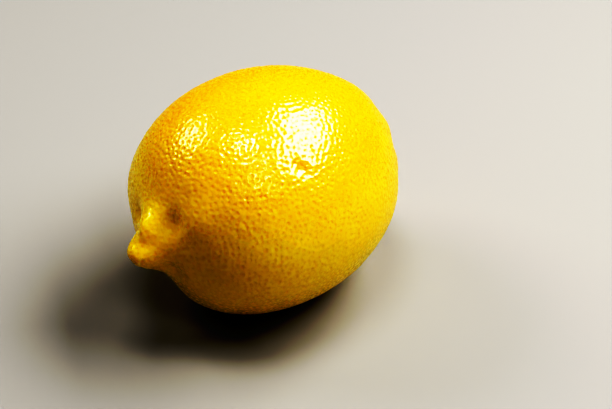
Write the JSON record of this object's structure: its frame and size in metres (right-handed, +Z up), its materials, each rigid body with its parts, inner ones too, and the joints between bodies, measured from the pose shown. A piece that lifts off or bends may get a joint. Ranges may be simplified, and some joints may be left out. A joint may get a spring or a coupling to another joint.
{
  "type": "lemon",
  "caption": "Whole lemon lying on its side, with a pronounced nipple at one end and a ribbed stem end with its woody button at the other.",
  "frame": {"origin": "middle of the underside of the object's box, on the surface that the lemon lies on", "axes": "+X towards the stem end, so the nipple is at -X; +Y across the fruit; +Z up, away from the surface it lies on"},
  "size_m": [0.0824, 0.061, 0.0606],
  "materials": {
    "peel": "waxy lemon peel with fine oil glands, satin to glossy",
    "button": "dry, dull, greenish brown"
  },
  "bodies": {
    "root": {"fruit": "peel", "stem_button": "button"}
  },
  "joints": []
}
